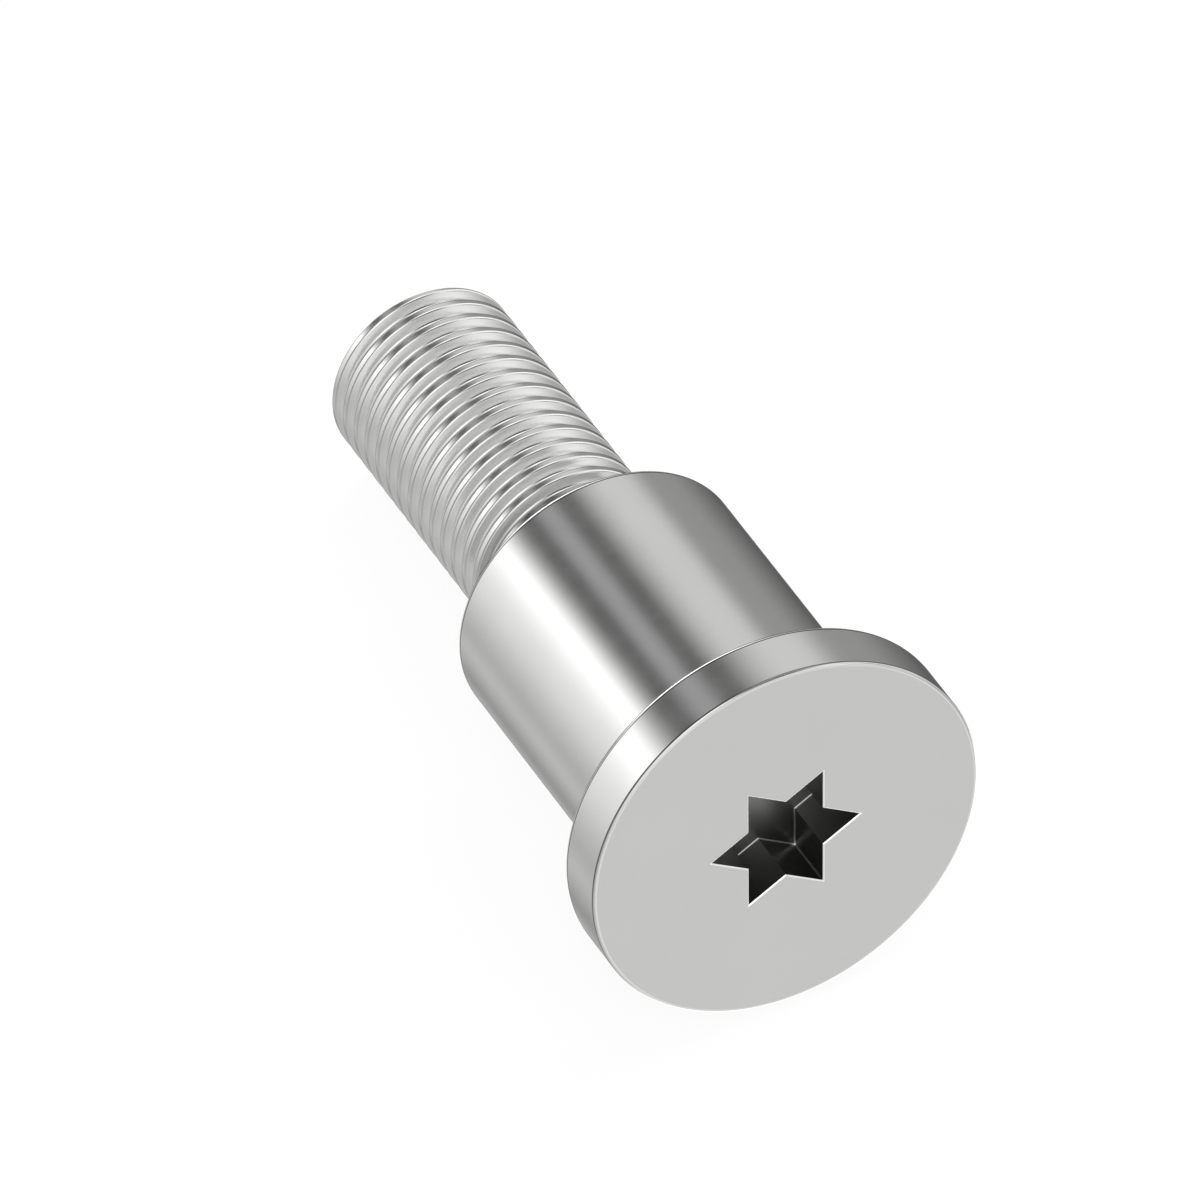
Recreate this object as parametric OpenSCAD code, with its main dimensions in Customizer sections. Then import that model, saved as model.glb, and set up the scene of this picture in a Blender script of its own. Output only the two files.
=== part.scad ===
// Shoulder screw, turned from one bar: a thin flat head with a six-pointed
// star recess, a plain round shoulder, and a fine-threaded end.
// Millimetres, +Z up. The screw lies on its side as it comes to rest on a
// flat surface: it touches that surface with the rim under its head and with
// the end of its thread, so its axis dips a little towards the thread.
// The origin is on that surface, under the middle of the whole screw.

/* [Head] */
// Diameter of the head
head_d = 6.1; // [5.6:0.05:7]
// Thickness of the head
head_h = 0.9; // [0.7:0.05:1.4]
// Width of the small edge break on both rims of the head
head_edge = 0.03; // [0.01:0.01:0.06]

/* [Recess] */
// Diameter of the circle through the six points of the star recess
recess_d = 2.34; // [1.8:0.01:2.6]
// Depth of the recess, measured from the head's outer face
recess_depth = 0.875; // [0.5:0.005:1]
// Turn of the recess about the screw's axis, in degrees
recess_turn = 33.8; // [0:0.1:60]

/* [Shoulder] */
// Diameter of the shoulder
shoulder_d = 4.5; // [4:0.05:5]
// Length of the shoulder, from under the head
shoulder_l = 5; // [3:0.5:8]
// Width of the small edge break on the shoulder's free rim
shoulder_edge = 0.03; // [0.01:0.01:0.06]

/* [Thread] */
// Diameter over the crests of the thread
thread_d = 2.97; // [2.87:0.01:2.98]
// Length of the threaded end, from the shoulder to the tip
thread_l = 5.75; // [3:0.25:7]
// Width of the chamfer at the tip
tip_chamfer = 0.08; // [0.02:0.01:0.2]

/* [Hidden] */
$fn = 96;

head_r = head_d / 2;
recess_r = recess_d / 2;
shoulder_r = shoulder_d / 2;
thread_r = thread_d / 2;
shoulder_end = head_h + shoulder_l;
total_l = shoulder_end + thread_l;

// A six-pointed star is two crossed triangles, so its inner corners lie at
// the outer radius over the square root of three.
star = [for (i = [0:11])
    let (r = i % 2 == 0 ? recess_r : recess_r / sqrt(3))
    [r * cos(30 * i), r * sin(30 * i)]];

// Half section of the solid: distance from the axis, then distance from the
// head's outer face.
section = [
    [0, 0],
    [head_r - head_edge, 0],
    [head_r, head_edge],
    [head_r, head_h - head_edge],
    [head_r - head_edge, head_h],
    [shoulder_r, head_h],
    [shoulder_r, shoulder_end - shoulder_edge],
    [shoulder_r - shoulder_edge, shoulder_end],
    [thread_r, shoulder_end],
    [thread_r, total_l - tip_chamfer],
    [thread_r - tip_chamfer, total_l],
    [0, total_l]
];

// Lying at rest: the two touching edges fix how far the axis dips.
dip = atan((head_r - thread_r) / ((total_l - tip_chamfer) - (head_h - head_edge)));
// Height of the middle of the head's outer face above the surface
lift = (head_h - head_edge) * sin(dip) + head_r * cos(dip);
// Ends of the lying screw along X, counted from that same point
x_low = -(head_r - head_edge) * sin(dip);
x_high = total_l * cos(dip) + (thread_r - tip_chamfer) * sin(dip);

module turned_body() {
    rotate_extrude() polygon(section);
}

module star_recess() {
    translate([0, 0, -1])
        linear_extrude(height = recess_depth + 1)
            rotate(recess_turn) polygon(star);
}

module shoulder_screw() {
    color([0.77, 0.77, 0.76])
        translate([-(x_low + x_high) / 2, 0, lift])
            rotate([0, 90 + dip, 0])
                difference() {
                    turned_body();
                    star_recess();
                }
}

shoulder_screw();
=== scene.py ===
import math

import bpy
import numpy as np
from mathutils import Matrix, Vector


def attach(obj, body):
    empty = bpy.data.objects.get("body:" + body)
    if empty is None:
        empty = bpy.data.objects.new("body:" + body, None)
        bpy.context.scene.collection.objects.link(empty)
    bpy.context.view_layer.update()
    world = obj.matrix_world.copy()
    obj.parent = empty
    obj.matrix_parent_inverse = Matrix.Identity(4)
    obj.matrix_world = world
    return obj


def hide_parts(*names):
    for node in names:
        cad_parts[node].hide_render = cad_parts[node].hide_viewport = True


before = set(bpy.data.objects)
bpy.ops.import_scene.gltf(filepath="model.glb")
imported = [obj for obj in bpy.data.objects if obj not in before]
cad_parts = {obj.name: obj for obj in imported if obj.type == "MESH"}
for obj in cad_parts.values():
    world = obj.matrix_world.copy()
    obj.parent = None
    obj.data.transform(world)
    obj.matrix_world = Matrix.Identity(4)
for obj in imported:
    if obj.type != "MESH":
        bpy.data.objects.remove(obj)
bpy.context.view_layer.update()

MM = 0.001

# ---------------------------------------------------------------------------
# Sizes in millimetres, the same as the solid's
# ---------------------------------------------------------------------------
HEAD_R = 3.05
HEAD_H = 0.9
HEAD_EDGE = 0.03
RECESS_R = 1.17
RECESS_DEPTH = 0.875
RECESS_TURN = 33.8
SHOULDER_R = 2.25
SHOULDER_END = 5.9
THREAD_R = 1.485
TOTAL = 11.65
TIP = 0.08
PITCH = 0.35
CREST = 0.073           # width of the flat on the crests
NEAR_ROUND = 0.045      # radius of the crests' edge on the head's side
FAR_ROUND = 0.020       # and on the tip's side
DEPTH = 0.14            # of the grooves, whose bottoms are fully round
CREST_AT = 8.727        # where a crest's middle crosses the side that faces the camera
CREST_TURN = 156.2      # that side, in degrees about the axis
RIM = 0.045             # radius of the round on the head's outer rim
RIM_BACK = 0.075        # and on the rims that face the tip

dip = math.atan((HEAD_R - THREAD_R) / ((TOTAL - TIP) - (HEAD_H - HEAD_EDGE)))
sin_d, cos_d = math.sin(dip), math.cos(dip)
lift = (HEAD_H - HEAD_EDGE) * sin_d + HEAD_R * cos_d
x_low = -(HEAD_R - HEAD_EDGE) * sin_d
x_high = TOTAL * cos_d + (THREAD_R - TIP) * sin_d
ORIGIN = np.array([-(x_low + x_high) / 2, 0.0, lift])     # middle of the head's outer face
AX = np.array([-sin_d, 0.0, -cos_d])                      # turn 0 about the axis
AY = np.array([0.0, 1.0, 0.0])                            # turn 90
AZ = np.array([cos_d, 0.0, -sin_d])                       # along the axis, head to thread


def place(r, turn, s):
    """Points in the row frame, in mm, from radius, turn in radians and distance along the axis."""
    return (ORIGIN + np.multiply.outer(r * np.cos(turn), AX) + np.multiply.outer(r * np.sin(turn), AY)
            + np.multiply.outer(s, AZ))


# ---------------------------------------------------------------------------
# The screw: rings of N points from the recess's floor, over the head, along
# the shoulder and the helical thread, to the tip. One closed mesh.
# ---------------------------------------------------------------------------
N = 240
TURN = np.radians(RECESS_TURN) + np.arange(N) * 2 * np.pi / N

verts, groups_faces = [], []
count = 0


def add_ring(r, s):
    """A ring of N points at radius r and height s, each a number or N numbers. Returns its indices."""
    global count
    r = np.broadcast_to(np.asarray(r, float), (N,))
    s = np.broadcast_to(np.asarray(s, float), (N,))
    pts = ORIGIN + (r * np.cos(TURN))[:, None] * AX + (r * np.sin(TURN))[:, None] * AY + s[:, None] * AZ
    verts.append(pts)
    idx = np.arange(count, count + N)
    count += N
    return idx


def add_point(s):
    global count
    verts.append((ORIGIN + s * AZ)[None])
    count += 1
    return count - 1


def bridge(a, b, group):
    """Quads between two rings; group is one number, or N numbers for the faces after each column."""
    a2, b2 = np.roll(a, -1), np.roll(b, -1)
    g = np.broadcast_to(np.asarray(group), (N,))
    for i in range(N):
        groups_faces.append(((a[i], b[i], b2[i], a2[i]), int(g[i])))


def fan(ring, centre, group, up):
    r2 = np.roll(ring, -1)
    for i in range(N):
        f = (ring[i], r2[i], centre) if up else (r2[i], ring[i], centre)
        groups_faces.append((f, group))


def star(offset):
    """Radius of the star's outline at each turn, grown by offset. Each of its 12 straight sides spans 30 degrees."""
    # a side's distance from the centre is half the radius to the points
    h = RECESS_R / 2 + offset
    a = np.degrees(TURN) - RECESS_TURN
    k = np.floor((a + 1e-6) / 30.0).astype(int)
    # side k leaves an outer point if k is even, and reaches one if k is odd; its normal is 60 degrees from that point
    normal = np.where(k % 2 == 0, 30.0 * k + 60.0, 30.0 * (k + 1) - 60.0)
    return h / np.cos(np.radians(a - normal))


SIDE = (np.arange(N) * 12) // N + 1      # each side of the star is its own smooth group

centre_floor = add_point(RECESS_DEPTH)
rows = []
# the floor, its tight lower corner, the walls and the soft upper edge
c = 0.016
rows.append((star(-c * 2.2), RECESS_DEPTH))
for t in (0.0, 30.0, 60.0, 90.0):
    rows.append((star(-c * (1 - math.sin(math.radians(t)))), RECESS_DEPTH - c * (1 - math.cos(math.radians(t)))))
e = 0.026
rows.append((star(0.0), RECESS_DEPTH * 0.5))
for t in (90.0, 67.5, 45.0, 22.5, 0.0):
    rows.append((star(e * (1 - math.sin(math.radians(t)))), e * (1 - math.cos(math.radians(t)))))
rings = [add_ring(*r) for r in rows]
fan(rings[0], centre_floor, 0, False)
bridge(rings[1], rings[0], 0)
for a, b in zip(rings[1:], rings[2:]):
    bridge(b, a, SIDE)
last = rings[-1]


def arc(cr, cs, radius, t0, t1, n):
    """Points on a circle of the half section, from t0 to t1 degrees, 0 along +r and 90 along +s."""
    return [(cr + radius * math.cos(math.radians(t0 + (t1 - t0) * i / n)),
             cs + radius * math.sin(math.radians(t0 + (t1 - t0) * i / n))) for i in range(n + 1)]


inner = 0.05      # fillet in the two inner corners of the body
body = []
body += arc(HEAD_R - RIM, RIM, RIM, -90, 0, 6)
body += [(HEAD_R, HEAD_H * 0.5)]
body += arc(HEAD_R - RIM_BACK, HEAD_H - RIM_BACK, RIM_BACK, 0, 90, 8)
body += arc(SHOULDER_R + inner, HEAD_H + inner, inner, 270, 180, 4)
body += [(SHOULDER_R, 0.5 * (HEAD_H + SHOULDER_END))]
body += arc(SHOULDER_R - RIM_BACK, SHOULDER_END - RIM_BACK, RIM_BACK, 0, 90, 8)
body += arc(THREAD_R + inner, SHOULDER_END + inner, inner, 270, 180, 4)
for r, s in body:
    ring = add_ring(r, s)
    bridge(ring, last, 0)
    last = ring
s_start = body[-1][1]

# One pitch of the thread's half section, from the middle of a crest to the next: (distance along, radius).
# Flanks at 30 degrees from square to the axis, joined by tangent rounds.
T60 = math.tan(math.radians(30.0))       # tangent length of a round of radius 1 that turns 60 degrees
near_corner = CREST / 2 + NEAR_ROUND * T60
far_corner = CREST / 2 + FAR_ROUND * T60
ROOT_ROUND = (PITCH - near_corner - far_corner - 2 * DEPTH * T60) / (2 * T60)
root_at = far_corner + DEPTH * T60 + ROOT_ROUND * T60


def crest_edge_points(radius, n):
    """From the flat down to the flank, as distance from the crest's middle and radius."""
    return [(CREST / 2 + radius * math.sin(math.radians(60.0 * i / n)),
             THREAD_R - radius * (1 - math.cos(math.radians(60.0 * i / n)))) for i in range(n + 1)]


section = crest_edge_points(FAR_ROUND, 3)
section += [(root_at + ROOT_ROUND * math.sin(math.radians(a)), THREAD_R - DEPTH + ROOT_ROUND * (1 - math.cos(math.radians(a))))
            for a in (-60, -36, -12, 8, 25, 42, 60)]
section += [(PITCH - x, r) for x, r in reversed(crest_edge_points(NEAR_ROUND, 5))]
M = len(section)
off = np.array([x for x, _ in section])
rad = np.array([r for _, r in section])


def thread_radius(phase):
    """Radius at a distance, in mm, past the middle of a crest."""
    x = np.mod(phase, PITCH)
    return np.interp(x, np.concatenate([[off[-1] - PITCH], off, [off[0] + PITCH]]),
                     np.concatenate([[rad[-1]], rad, [rad[0]]]))


s_cut = TOTAL - TIP - 0.004
turn0 = TURN[0]
base = CREST_AT - PITCH * math.radians(CREST_TURN) / (2 * math.pi)     # crest height at turn 0
k_low = math.floor((s_start - base) / PITCH) - 2
k_high = math.ceil((s_cut - base) / PITCH) + 2
Q = (k_high - k_low) * M
start_ring = last
end_ring = add_ring(thread_radius(s_cut - base - PITCH * TURN / (2 * np.pi)), s_cut)
FADE = 0.08 * PITCH
index = np.zeros((Q, N + 1), int)
new_pts = []
for i in range(N + 1):
    a = turn0 + i * 2 * math.pi / N
    ca, sa = math.cos(a), math.sin(a)
    for q in range(Q):
        k, j = divmod(q, M)
        s = base + PITCH * (k_low + k) + PITCH * a / (2 * math.pi) + off[j]
        if s <= s_start + 5e-4:
            index[q, i] = start_ring[i % N]
        elif s >= s_cut - 5e-4:
            index[q, i] = end_ring[i % N]
        elif i == N:
            index[q, i] = index[q + M, 0]
        else:
            w = min(1.0, (s - s_start) / FADE)
            w = w * w * (3 - 2 * w)
            r = THREAD_R - (THREAD_R - rad[j]) * w
            new_pts.append(ORIGIN + r * ca * AX + r * sa * AY + s * AZ)
            index[q, i] = count
            count += 1
verts.append(np.array(new_pts))
for i in range(N):
    for q in range(Q - 1):
        quad = (index[q + 1, i], index[q, i], index[q, i + 1], index[q + 1, i + 1])
        f = []
        for v in quad:
            if v not in f:
                f.append(int(v))
        if len(f) > 2:
            groups_faces.append((tuple(f), 0))
last = end_ring
tip_rows = [TOTAL - TIP + x for x in (0.004, 0.018, 0.036, 0.054, 0.068)]
for s in tip_rows:
    cone = THREAD_R - (s - (TOTAL - TIP))
    r = np.minimum(thread_radius(s - base - PITCH * TURN / (2 * np.pi)), cone)
    ring = add_ring(r, s)
    bridge(ring, last, 0)
    last = ring
for s, cone, less in ((TOTAL - 0.005, THREAD_R - TIP + 0.003, 0.0), (TOTAL, THREAD_R - TIP - 0.006, 0.004),
                      (TOTAL, THREAD_R - TIP - 0.014, 0.012)):
    r = np.minimum(thread_radius(TOTAL - base - PITCH * TURN / (2 * np.pi)) - less, cone)
    ring = add_ring(r, s)
    bridge(ring, last, 0)
    last = ring
ring = add_ring(0.5, TOTAL)
bridge(ring, last, 0)
fan(ring, add_point(TOTAL), 0, True)

P = np.concatenate(verts) * MM
faces = [f for f, _ in groups_faces]
groups = np.array([g for _, g in groups_faces])

mesh = bpy.data.meshes.new("shoulder_screw_finish")
mesh.from_pydata(P.tolist(), [], faces)
mesh.update()
screw = bpy.data.objects.new("shoulder_screw_finish", mesh)
bpy.context.scene.collection.objects.link(screw)

# Normals: each corner takes the area-weighted mean of the faces of its own group round its vertex, and, on the star's
# sides, of the plain faces too where they meet, so that flats stay flat, rounds stay round and the star's corners sharp.
mesh.polygons.foreach_set("use_smooth", np.ones(len(mesh.polygons), bool))
n_poly = len(mesh.polygons)
fn = np.zeros(n_poly * 3); mesh.polygons.foreach_get("normal", fn); fn = fn.reshape(-1, 3)
fa = np.zeros(n_poly); mesh.polygons.foreach_get("area", fa)
ls = np.zeros(n_poly, int); mesh.polygons.foreach_get("loop_start", ls)
lt = np.zeros(n_poly, int); mesh.polygons.foreach_get("loop_total", lt)
lv = np.zeros(len(mesh.loops), int); mesh.loops.foreach_get("vertex_index", lv)
lp = np.repeat(np.arange(n_poly), lt)
lg = groups[lp]
weight = (fn * (fa * 1e6)[:, None])[lp]
sums = np.zeros((14, len(P), 3))
for g in range(13):
    sel = lg == g
    np.add.at(sums[g], lv[sel], weight[sel])
corner = np.where((lg == 0)[:, None], sums[0][lv], sums[lg, lv] + sums[0][lv])
corner /= np.maximum(np.linalg.norm(corner, axis=1), 1e-12)[:, None]
mesh.normals_split_custom_set(corner.tolist())
mesh.update()

# ---------------------------------------------------------------------------
# Nodes
# ---------------------------------------------------------------------------


class Tree:
    def __init__(self, tree):
        self.tree = tree
        tree.nodes.clear()

    def node(self, kind, **inputs):
        n = self.tree.nodes.new(kind)
        for key, value in inputs.items():
            if key.startswith("_"):
                setattr(n, key[1:], value)
            else:
                self.feed(n.inputs[key.replace("__", " ")], value)
        return n

    def feed(self, socket, value):
        if isinstance(value, bpy.types.NodeSocket):
            self.tree.links.new(value, socket)
        else:
            socket.default_value = value

    def math(self, op, a, b=None, c=None, clamp=False):
        n = self.tree.nodes.new("ShaderNodeMath")
        n.operation, n.use_clamp = op, clamp
        for s, v in zip(n.inputs, (a, b, c)):
            if v is not None:
                self.feed(s, v)
        return n.outputs[0]

    def vec(self, op, a, b=None, scale=None):
        n = self.tree.nodes.new("ShaderNodeVectorMath")
        n.operation = op
        self.feed(n.inputs[0], a)
        if b is not None:
            self.feed(n.inputs[1], b)
        if scale is not None:
            self.feed(n.inputs["Scale"], scale)
        return n.outputs["Value"] if op in ("DOT_PRODUCT", "LENGTH", "DISTANCE") else n.outputs[0]

    def ramp(self, value, low, high, to_low=0.0, to_high=1.0, smooth=True):
        n = self.tree.nodes.new("ShaderNodeMapRange")
        n.interpolation_type = "SMOOTHSTEP" if smooth else "LINEAR"
        n.clamp = True
        for key, v in (("Value", value), ("From Min", low), ("From Max", high), ("To Min", to_low), ("To Max", to_high)):
            self.feed(n.inputs[key], v)
        return n.outputs[0]


steel = bpy.data.materials.new("turned_stainless")
steel.use_nodes = True
t = Tree(steel.node_tree)
# Screw coordinates in mm: s along the axis, r from it, and the direction round it
place_mm = t.vec("SUBTRACT", t.vec("SCALE", t.node("ShaderNodeTexCoord").outputs["Object"], scale=1000.0),
                 tuple(float(x) for x in ORIGIN))
s_ = t.vec("DOT_PRODUCT", place_mm, tuple(float(x) for x in AZ))
x_ = t.vec("DOT_PRODUCT", place_mm, tuple(float(x) for x in AX))
y_ = t.vec("DOT_PRODUCT", place_mm, tuple(float(x) for x in AY))
r_ = t.math("SQRT", t.math("ADD", t.math("MULTIPLY", x_, x_), t.math("MULTIPLY", y_, y_)))
r_safe = t.math("MAXIMUM", r_, 0.02)
cx = t.math("DIVIDE", x_, r_safe)
cy = t.math("DIVIDE", y_, r_safe)


def turning(scale, round_scale, detail):
    """Noise that runs round the axis: fine along it and along the radius, slow round it."""
    v = t.node("ShaderNodeCombineXYZ", X=t.math("MULTIPLY", s_, scale), Y=t.math("MULTIPLY", r_, scale),
               Z=t.math("MULTIPLY", cx, round_scale)).outputs[0]
    n = t.node("ShaderNodeTexNoise", _noise_dimensions="4D", Vector=v, W=t.math("MULTIPLY", cy, round_scale),
               Scale=1.0, Detail=detail, Roughness=0.55)
    return n.outputs[0]


lines = turning(26.0, 0.5, 3.0)         # cutting lines about 0.03 mm apart
bands = turning(2.6, 0.35, 2.0)         # slow change of finish across them
grain = t.node("ShaderNodeTexNoise", Vector=place_mm, Scale=9.0, Detail=4.0, Roughness=0.6).outputs[0]
blotch = t.node("ShaderNodeTexNoise", Vector=place_mm, Scale=0.7, Detail=2.0, Roughness=0.5).outputs[0]
def times(*factors):
    out = factors[0]
    for x in factors[1:]:
        out = t.math("MULTIPLY", out, x)
    return out


def band(value, low, high, soft):
    """1 between low and high, and 0 from soft outside them."""
    return times(t.ramp(value, low - soft, low), t.ramp(value, high + soft, high))


# where a point is on the thread: mm past the middle of the nearest crest, less than 0 towards the head
turns = t.math("DIVIDE", t.math("ARCTAN2", y_, x_), 2 * math.pi)
phase = t.math("FRACT", t.math("ADD", t.math("SUBTRACT", t.math("MULTIPLY", t.math("SUBTRACT", s_, base), 1 / PITCH), turns), 0.5))
past_crest = t.math("MULTIPLY", t.math("SUBTRACT", phase, 0.5), PITCH)
threaded = times(t.ramp(r_, THREAD_R + 0.03, THREAD_R + 0.01), t.ramp(r_, THREAD_R - DEPTH - 0.03, THREAD_R - DEPTH - 0.01), t.ramp(s_, TOTAL - TIP + 0.005, TOTAL - TIP - 0.005), t.ramp(s_, SHOULDER_END + 0.01, SHOULDER_END + 0.03))
on_thread = times(threaded, t.ramp(s_, SHOULDER_END + 0.06, SHOULDER_END + 0.16))
# painted light: the flanks that face the head are made lighter in colour
flank = times(on_thread, t.ramp(past_crest, -CREST / 2 - 0.020, -CREST / 2 - 0.036))
# the flank towards the tip is rougher, and its colour is lightened as painted light for the light the facing flank
# throws back
matt_and_painted_light = times(on_thread, band(past_crest, CREST / 2 + 0.022, 0.130, 0.008))
# painted light: the lower part of the flank is made a little lighter
low_flank_light = times(on_thread, t.ramp(past_crest, -0.142, -0.124), t.ramp(past_crest, -0.090, -0.106))
# painted highlight along the crest's edge towards the head
near_edge_highlight = times(on_thread, band(past_crest, -CREST / 2 - 0.034, -CREST / 2 - 0.021, 0.004))
# painted shade: the bottoms of the grooves are made darker
root = times(on_thread, t.math("MAXIMUM", t.ramp(past_crest, -0.134, -0.142), t.ramp(past_crest, 0.150, 0.160)))
# painted shade: a dark line along the crest's edge towards the tip
far_edge_shade = times(on_thread, band(past_crest, CREST / 2 - 0.004, CREST / 2 + 0.012, 0.003))
# painted shade: the thread is darker towards the shoulder
run_out_shade = times(threaded, t.ramp(s_, SHOULDER_END + 1.25, SHOULDER_END + 0.40))
# the shoulder's end face is rougher, and its colour is lightened as painted light
end_face = times(band(s_, SHOULDER_END - 0.008, SHOULDER_END + 0.02, 0.008), band(r_, THREAD_R + 0.05, SHOULDER_R - 0.08, 0.03))

# where it is on the star: mm outside its outline, and degrees from the nearest of its six points
sixth = t.math("FRACT", t.math("SUBTRACT", t.math("MULTIPLY", turns, 6.0), RECESS_TURN / 60.0))
from_point = t.math("MULTIPLY", t.math("SUBTRACT", 0.5, t.math("ABSOLUTE", t.math("SUBTRACT", sixth, 0.5))), math.radians(60.0))
outside = t.math("SUBTRACT", t.math("MULTIPLY", r_, t.math("COSINE", t.math("SUBTRACT", math.radians(60.0), from_point))), RECESS_R / 2)
near_star = t.ramp(r_, 1.32, 1.30)
in_recess = times(t.ramp(outside, 0.006, 0.0), t.ramp(s_, 0.0, 0.02), t.ramp(s_, 1.0, 0.95))
# painted highlight: a light line round the recess's mouth
mouth_highlight = times(near_star, t.ramp(s_, 0.030, 0.018), band(outside, 0.004, 0.020, 0.005))
# painted highlight: a light line along the recess's lower corner
corner = times(near_star, band(s_, RECESS_DEPTH - 0.016, RECESS_DEPTH - 0.002, 0.006), band(outside, -0.016, -0.001, 0.004))
# painted highlight: light lines in the recess's corners at the star's points
point_highlight = times(t.ramp(s_, 0.05, 0.10), t.ramp(s_, 1.0, 0.95), band(r_, 1.155, 1.30, 0.008))

# the head's outer rim with a painted highlight, and a painted dark line beside each rim
rim_highlight = times(t.ramp(s_, 0.018, 0.008), band(r_, HEAD_R - 0.054, HEAD_R - 0.012, 0.005))
on_head = t.ramp(r_, HEAD_R - 0.03, HEAD_R - 0.02)
on_shoulder = band(r_, SHOULDER_R - 0.02, SHOULDER_R + 0.01, 0.01)
line_back = band(s_, HEAD_H - 0.090, HEAD_H - 0.071, 0.004)
line_end = band(s_, SHOULDER_END - 0.090, SHOULDER_END - 0.071, 0.004)
# painted shade: the outer edge of the rims that face the tip made darker
rim_outline_shade = times(t.ramp(r_, SHOULDER_R - 0.06, SHOULDER_R - 0.04), t.math("MAXIMUM", band(s_, HEAD_H - 0.036, HEAD_H - 0.001, 0.006), band(s_, SHOULDER_END - 0.036, SHOULDER_END - 0.001, 0.006)))
# painted highlight: a glint on the rims that face the tip
glint = times(t.ramp(r_, SHOULDER_R - 0.06, SHOULDER_R - 0.04), t.math("MAXIMUM", band(s_, HEAD_H - 0.067, HEAD_H - 0.040, 0.003), band(s_, SHOULDER_END - 0.067, SHOULDER_END - 0.040, 0.003)))
dark_line_shade = t.math("MAXIMUM", times(on_head, t.math("MAXIMUM", band(s_, 0.028, 0.048, 0.005), line_back)), times(on_shoulder, line_end))

rough = t.math("ADD", 0.18, t.math("MULTIPLY", t.math("SUBTRACT", bands, 0.5), 0.06))
rough = t.math("ADD", rough, t.math("MULTIPLY", t.math("SUBTRACT", grain, 0.5), 0.05))
rough = t.math("ADD", rough, t.math("MULTIPLY", in_recess, 0.12))
rough = t.math("ADD", rough, t.math("MULTIPLY", end_face, 0.35))
rough = t.math("ADD", rough, t.math("MULTIPLY", matt_and_painted_light, 0.50), clamp=True)
tint = t.math("ADD", t.math("MULTIPLY", t.math("SUBTRACT", blotch, 0.5), 0.05), t.math("MULTIPLY", t.math("SUBTRACT", lines, 0.5), 0.03))
shade = t.math("ADD", 1.0, tint)
# painted shade: the recess's walls and floor are darkened in colour for the shade that falls inside it
shade = times(shade, t.ramp(in_recess, 0.0, 1.0, 1.0, 0.40))
shade = times(shade, t.ramp(flank, 0.0, 1.0, 1.0, 1.10), t.ramp(matt_and_painted_light, 0.0, 1.0, 1.0, 1.52), t.ramp(low_flank_light, 0.0, 1.0, 1.0, 1.05), t.ramp(root, 0.0, 1.0, 1.0, 0.90),
              t.ramp(near_edge_highlight, 0.0, 1.0, 1.0, 1.06), t.ramp(far_edge_shade, 0.0, 1.0, 1.0, 0.65), t.ramp(run_out_shade, 0.0, 1.0, 1.0, 0.58))
shade = times(shade, t.ramp(dark_line_shade, 0.0, 1.0, 1.0, 0.24), t.ramp(mouth_highlight, 0.0, 1.0, 1.0, 1.72), t.ramp(rim_highlight, 0.0, 1.0, 1.0, 1.25), t.ramp(rim_outline_shade, 0.0, 1.0, 1.0, 0.32),
              t.ramp(glint, 0.0, 1.0, 1.0, 1.50), t.ramp(end_face, 0.0, 1.0, 1.0, 1.25))
shade = times(shade, t.ramp(corner, 0.0, 1.0, 1.0, 3.4), t.ramp(point_highlight, 0.0, 1.0, 1.0, 2.5))
colour = t.vec("SCALE", t.node("ShaderNodeCombineXYZ", X=0.560, Y=0.560, Z=0.552).outputs[0], scale=shade)
height = t.math("MULTIPLY", t.math("SUBTRACT", lines, 0.5), t.ramp(in_recess, 0.0, 1.0, 1.0, 0.2))
bump = t.node("ShaderNodeBump", Strength=0.25, Distance=0.000004, Height=height)
shader = t.node("ShaderNodeBsdfPrincipled", Metallic=1.0, Roughness=rough, Normal=bump.outputs[0])
t.feed(shader.inputs["Base Color"], colour)
t.tree.links.new(shader.outputs[0], t.node("ShaderNodeOutputMaterial").inputs["Surface"])
mesh.materials.append(steel)

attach(screw, "root")
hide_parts("shoulder_screw")

# ---------------------------------------------------------------------------
# Floor
# ---------------------------------------------------------------------------
size = 0.7
floor_mesh = bpy.data.meshes.new("floor")
floor_mesh.from_pydata([(-size, -size, 0), (size, -size, 0), (size, size, 0), (-size, size, 0)], [], [(0, 1, 2, 3)])
floor = bpy.data.objects.new("floor", floor_mesh)
bpy.context.scene.collection.objects.link(floor)
pale = bpy.data.materials.new("pale_floor")
pale.use_nodes = True
f = Tree(pale.node_tree)
diffuse = f.node("ShaderNodeBsdfDiffuse", Color=(0.13, 0.13, 0.13, 1.0), Roughness=0.0)
glow = f.node("ShaderNodeEmission", Color=(1.0, 1.0, 1.0, 1.0), Strength=0.89)
both = f.node("ShaderNodeAddShader")
f.tree.links.new(diffuse.outputs[0], both.inputs[0])
f.tree.links.new(glow.outputs[0], both.inputs[1])
f.tree.links.new(both.outputs[0], f.node("ShaderNodeOutputMaterial").inputs["Surface"])
floor_mesh.materials.append(pale)
# the boxes light the metal from below too, so that the floor is only seen and shadowed
floor.visible_glossy = False
floor.visible_shadow = False

# ---------------------------------------------------------------------------
# Light: a pale room with long soft boxes and dark gaps between them, which
# run beside the screw, parallel to its axis
# ---------------------------------------------------------------------------
ACROSS_0 = (0.1325, 0.4028, 0.9057)       # square to the axis, towards the camera
ACROSS_90 = (0.0583, -0.9155, 0.3985)     # square to both

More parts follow.
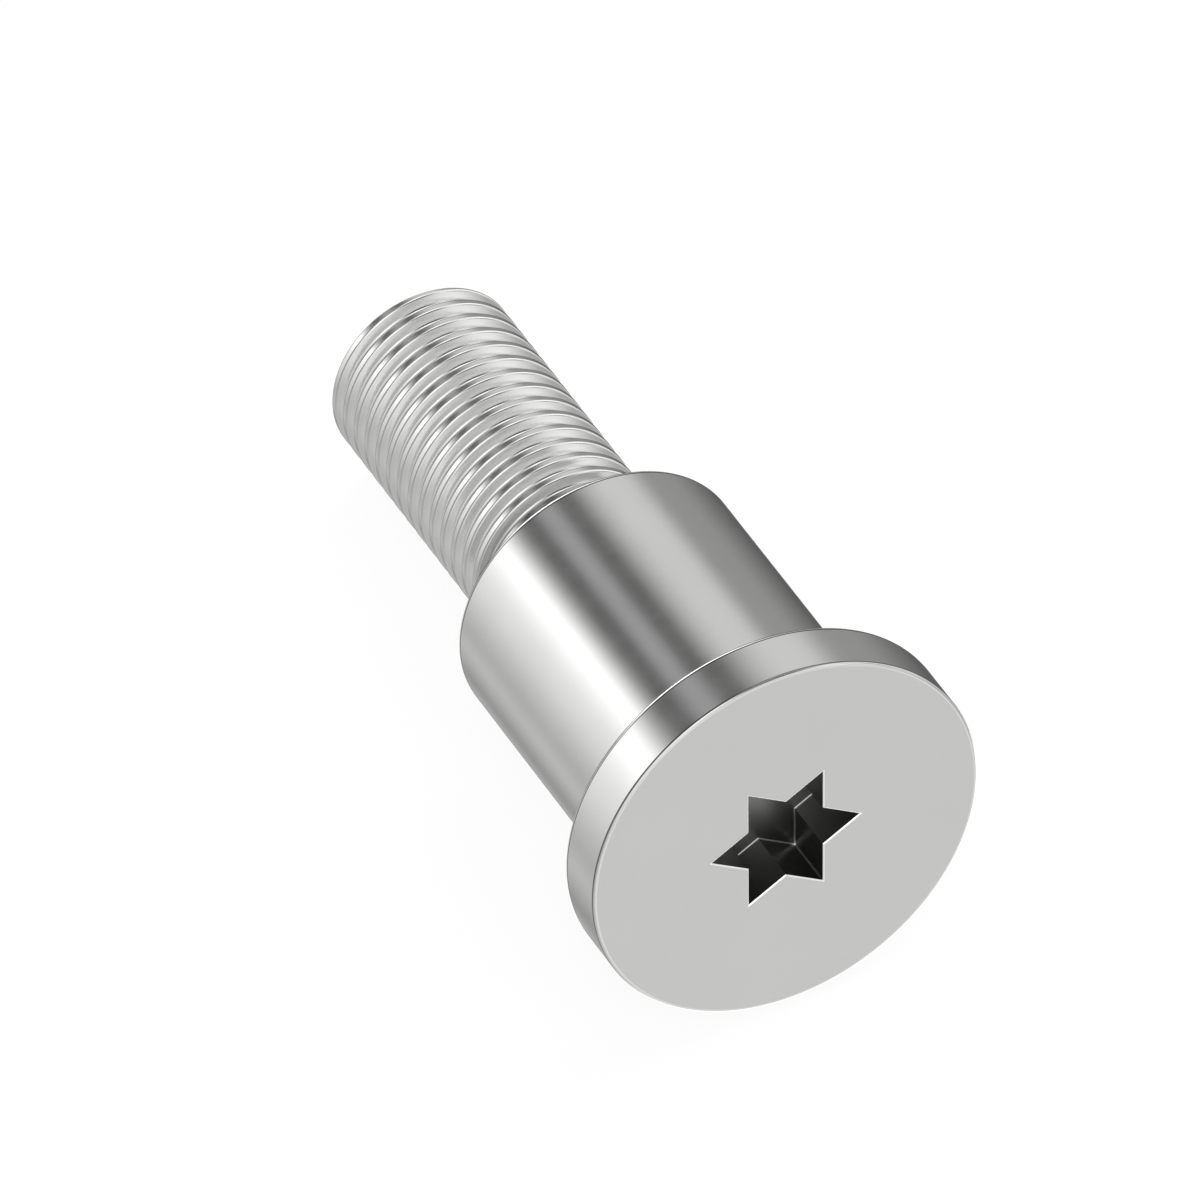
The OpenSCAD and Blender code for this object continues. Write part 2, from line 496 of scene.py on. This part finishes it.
world = bpy.data.worlds.new("studio")
bpy.context.scene.world = world
world.use_nodes = True
w = Tree(world.node_tree)
look = w.node("ShaderNodeTexCoord").outputs["Generated"]
along = w.vec("DOT_PRODUCT", look, tuple(float(x) for x in AZ))
c0 = w.vec("DOT_PRODUCT", look, ACROSS_0)
c90 = w.vec("DOT_PRODUCT", look, ACROSS_90)
round_ = w.math("MULTIPLY", w.math("ARCTAN2", c90, c0), 180.0 / math.pi)


def around(stops_in):
    """Brightness by degrees round the axis, 0 on the camera's side."""
    n = w.node("ShaderNodeValToRGB")
    n.color_ramp.interpolation = "LINEAR"
    stops = n.color_ramp.elements
    while len(stops) > 1:
        stops.remove(stops[-1])
    for k, (deg, level) in enumerate(stops_in):
        stop = stops[0] if k == 0 else stops.new((deg + 180) / 360)
        stop.position = (deg + 180) / 360
        stop.color = (level / 2.5, level / 2.5, level / 2.5, 1.0)
    w.feed(n.inputs[0], w.math("ADD", w.math("DIVIDE", round_, 360.0), 0.5))
    return w.math("MULTIPLY", n.outputs[0], 2.5)


def blend(a, b, share):
    return w.math("ADD", a, w.math("MULTIPLY", w.math("SUBTRACT", b, a), share))


# long boxes and gaps in front, which the head's and the shoulder's sides mirror
front = around(((-180, 0.20), (-166, 0.55), (-144, 0.40), (-118, 0.82), (-102, 0.68), (-88, 0.88), (-72, 1.18), (-56, 1.40),
                (-46, 1.70), (-33, 2.25), (-25, 1.35), (-18, 0.58), (-11, 0.18), (-3, 0.15), (6, 0.55), (13, 0.55),
                (21, 0.18), (29, 0.16), (44, 0.78), (54, 1.00), (74, 1.00), (90, 0.46), (112, 0.45), (136, 0.25),
                (158, 0.12), (180, 0.16)))
# others overhead and at the sides, in two rows
upper = around(((-180, 2.20), (-157, 2.00), (-147, 0.70), (-110, 0.75), (-72, 0.55), (-38, 0.30), (-19, 0.35), (0, 0.70),
                (19, 0.45), (37, 2.30), (55, 1.60), (70, 1.50), (86, 2.00), (100, 1.70), (114, 1.30), (130, 0.80), (148, 0.60),
                (157, 2.00), (180, 2.20)))
lower = around(((-180, 1.00), (-135, 0.72), (-105, 0.66), (-73, 0.58), (-38, 0.92), (-19, 1.60), (0, 2.20), (18, 1.75),
                (29, 0.10), (41, 0.03), (55, 0.10), (72, 1.50), (89, 0.65), (101, 0.55), (112, 0.85), (119, 1.00), (128, 0.58),
                (150, 0.60), (180, 1.00)))
# behind the camera, paler and softer ones
behind = around(((-180, 1.0), (-140, 0.95), (-117, 0.84), (-97, 0.71), (-84, 0.90), (-66, 1.25), (-39, 1.18), (0, 1.08),
                 (39, 0.88), (66, 0.65), (83, 0.97), (97, 1.30), (108, 1.35), (117, 1.30), (126, 0.70), (150, 0.80), (180, 1.0)))
# past the thread's end, a bright wall with dark corners
far = around(((-180, 1.5), (-176, 1.5), (-168, 0.05), (-55, 0.05), (-33, 2.4), (64, 2.4), (88, 0.12), (168, 0.12),
              (176, 1.5), (180, 1.5)))
level = blend(behind, lower, w.ramp(along, -0.68, -0.58))
level = blend(level, upper, w.ramp(along, -0.20, -0.05))
level = blend(level, front, w.ramp(along, 0.42, 0.55))
level = blend(level, far, w.ramp(along, 0.80, 0.92))
seen = w.node("ShaderNodeLightPath").outputs["Is Camera Ray"]
level = w.math("ADD", w.math("MULTIPLY", level, w.math("SUBTRACT", 1.0, seen)), seen)
# one of the boxes in front is a little cooler than the others
cool = w.math("MULTIPLY", w.math("MULTIPLY", w.ramp(round_, -6, 2), w.ramp(round_, 22, 14)), w.ramp(along, 0.42, 0.55))
cool = w.math("MULTIPLY", cool, w.math("SUBTRACT", 1.0, seen))
tone = w.node("ShaderNodeCombineXYZ", X=w.ramp(cool, 0.0, 1.0, 1.0, 0.992), Y=1.0, Z=w.ramp(cool, 0.0, 1.0, 1.0, 1.010)).outputs[0]
background = w.node("ShaderNodeBackground", Color=tone, Strength=level)
w.tree.links.new(background.outputs[0], w.node("ShaderNodeOutputWorld").inputs["Surface"])

# ---------------------------------------------------------------------------
# Camera: from the photograph, nearly parallel rays
# ---------------------------------------------------------------------------
UNIT = HEAD_R * MM
to_head = Vector((0.86254, 1.10634, 100.46772)) * UNIT      # camera frame: right, down, forward
elev = math.radians(49.583)
az = math.radians(117.038)
forward = Vector((math.sin(az) * math.cos(elev), math.cos(az) * math.cos(elev), -math.sin(elev)))
right = forward.cross(Vector((0, 0, 1))).normalized()
down = forward.cross(right).normalized()
head_centre = Vector(ORIGIN * MM)
spot = head_centre - (right * to_head.x + down * to_head.y + forward * to_head.z)
camera_data = bpy.data.cameras.new("camera")
camera_data.sensor_width = 36.0
camera_data.lens = 21685.7 / 1200.0 * 36.0
camera_data.clip_start = 0.01
camera_data.clip_end = 10.0
camera = bpy.data.objects.new("camera", camera_data)
turn = Matrix((right, -down, -forward)).transposed()
camera.matrix_world = Matrix.Translation(spot) @ turn.to_4x4()
bpy.context.scene.collection.objects.link(camera)
bpy.context.scene.camera = camera

view = bpy.context.scene.view_settings
view.view_transform = "Standard"
view.look = "None"
view.exposure = 0.0
view.gamma = 1.0
